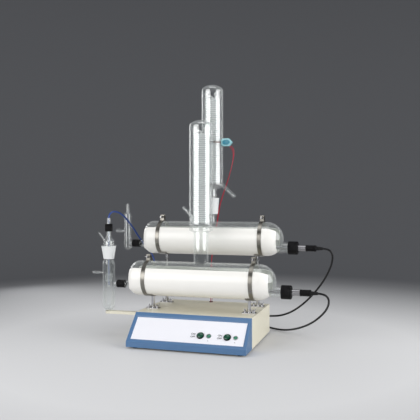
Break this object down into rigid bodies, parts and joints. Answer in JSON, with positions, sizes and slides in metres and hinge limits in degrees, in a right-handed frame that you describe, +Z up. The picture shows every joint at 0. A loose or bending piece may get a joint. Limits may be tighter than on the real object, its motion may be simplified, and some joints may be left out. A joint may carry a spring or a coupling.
{
  "type": "double glass distillation apparatus",
  "caption": "Bench water still: glass boilers stacked on a control cabinet, each with a tall coil condenser, electric heaters and glass level vessels.",
  "frame": {"origin": "centre of the cabinet's footprint, on the bench that the feet stand on", "axes": "+X to the right as seen by the user at the sloped panel, +Y to the back, +Z up"},
  "size_m": [0.8597, 0.437, 0.918],
  "materials": {
    "cream_paint": "satin powder coat",
    "blue_plastic": "satin moulded",
    "white_panel": "satin",
    "black_plastic": "moulded",
    "button_plastic": "gloss",
    "green_lens": "gloss",
    "chrome": "polished",
    "steel": "satin",
    "ferrule_metal": "satin",
    "board": "satin",
    "rubber": "matt",
    "silicone": "matt",
    "glass": "clear",
    "frosted_glass": "ground",
    "coil_glass": "clear",
    "white_jacket": "satin",
    "float_plastic": "satin",
    "teal_plastic": "gloss",
    "blue_cable": "satin sheath",
    "red_wire": "satin sheath",
    "black_cable": "satin sheath"
  },
  "bodies": {
    "stand": {"cabinet_shell": "cream_paint", "base_plate": "cream_paint", "front_bezel": "blue_plastic", "front_panel": "white_panel", "switch_bodies": "black_plastic", "lamp_rims": "chrome", "lamp_lenses": "green_lens", "control_board": "board", "rubber_feet": "rubber", "mains_inlet": "black_plastic", "cable_glands": "black_plastic", "cable_grommets": "rubber", "vessel_bracket": "cream_paint", "front_posts": "chrome", "rear_posts": "chrome", "foot_studs": "steel", "foot_wing_nuts": "chrome", "lower_boiler": "glass", "lower_riser": "glass", "upper_boiler": "glass", "lower_jacket": "white_jacket", "upper_jacket": "white_jacket", "lower_clamps": "chrome", "upper_clamps": "chrome", "clamp_screws": "steel", "lower_heater": "steel", "upper_heater": "steel", "heater_seals": "silicone", "heater_ferrules": "ferrule_metal", "heater_plugs": "black_plastic", "strain_reliefs": "rubber", "lower_heater_cable": "black_cable", "upper_heater_cable": "black_cable", "front_condenser": "glass", "rear_condenser": "glass", "front_coil": "coil_glass", "rear_coil": "coil_glass", "rear_joint_socket": "frosted_glass", "level_vessel": "glass", "level_joint_socket": "frosted_glass", "level_vessel_head": "glass", "reed_tube": "glass", "small_vessel": "glass", "thermal_cutout": "teal_plastic", "cutout_strap": "steel", "cutout_wire_1": "red_wire", "cutout_wire_2": "red_wire", "sensor_cable": "blue_cable"},
    "left_button": {"push_button_left": "button_plastic"},
    "right_button": {"push_button_right": "button_plastic"},
    "lower_heater_cap_body": {"lower_heater_cap": "black_plastic"},
    "upper_heater_cap_body": {"upper_heater_cap": "black_plastic"},
    "lower_pipe_cap_body": {"lower_pipe_cap": "black_plastic"},
    "upper_pipe_cap_body": {"upper_pipe_cap": "black_plastic"},
    "reed_cap_body": {"reed_cap": "black_plastic"},
    "float_body": {"level_float": "float_plastic"},
    "nut_lower_left": {"clamp_nut_lower_left": "chrome"},
    "nut_lower_right": {"clamp_nut_lower_right": "chrome"},
    "nut_upper_left": {"clamp_nut_upper_left": "chrome"},
    "nut_upper_right": {"clamp_nut_upper_right": "chrome"}
  },
  "joints": [
    {"name": "left_button_press", "type": "slide", "parent": "stand", "child": "left_button", "axis": [0, 0.697, -0.717], "range_m": [0, 0.003], "stiffness_N_per_m": 400, "springref_m": -0.001},
    {"name": "right_button_press", "type": "slide", "parent": "stand", "child": "right_button", "axis": [0, 0.697, -0.717], "range_m": [0, 0.003], "stiffness_N_per_m": 400, "springref_m": -0.001},
    {"name": "lower_heater_cap_turn", "type": "hinge", "parent": "stand", "child": "lower_heater_cap_body", "pos_m": [0.3, -0.0184, 0.1855], "axis": [1, 0, 0], "range_deg": [0, 540]},
    {"name": "lower_pipe_cap_turn", "type": "hinge", "parent": "stand", "child": "lower_pipe_cap_body", "pos_m": [-0.3, -0.0184, 0.191], "axis": [-1, 0, 0], "range_deg": [0, 540]},
    {"name": "upper_heater_cap_turn", "type": "hinge", "parent": "stand", "child": "upper_heater_cap_body", "pos_m": [0.3, 0.1194, 0.3235], "axis": [1, 0, 0], "range_deg": [0, 540]},
    {"name": "upper_pipe_cap_turn", "type": "hinge", "parent": "stand", "child": "upper_pipe_cap_body", "pos_m": [-0.3, 0.1194, 0.329], "axis": [-1, 0, 0], "range_deg": [0, 540]},
    {"name": "reed_cap_turn", "type": "hinge", "parent": "stand", "child": "reed_cap_body", "pos_m": [-0.35, -0.0184, 0.39], "axis": [0, 0, 1], "range_deg": [0, 540]},
    {"name": "float_rise", "type": "slide", "parent": "stand", "child": "float_body", "axis": [0, 0, 1], "range_m": [0, 0.028]},
    {"name": "lower_left_nut_turn", "type": "hinge", "parent": "stand", "child": "nut_lower_left", "pos_m": [-0.192, -0.0284, 0.2928], "axis": [0, -1, 0], "range_deg": [0, 540]},
    {"name": "lower_right_nut_turn", "type": "hinge", "parent": "stand", "child": "nut_lower_right", "pos_m": [0.192, -0.0284, 0.2928], "axis": [0, -1, 0], "range_deg": [0, 540]},
    {"name": "upper_left_nut_turn", "type": "hinge", "parent": "stand", "child": "nut_upper_left", "pos_m": [-0.192, 0.1094, 0.4308], "axis": [0, -1, 0], "range_deg": [0, 540]},
    {"name": "upper_right_nut_turn", "type": "hinge", "parent": "stand", "child": "nut_upper_right", "pos_m": [0.192, 0.1094, 0.4308], "axis": [0, -1, 0], "range_deg": [0, 540]}
  ]
}
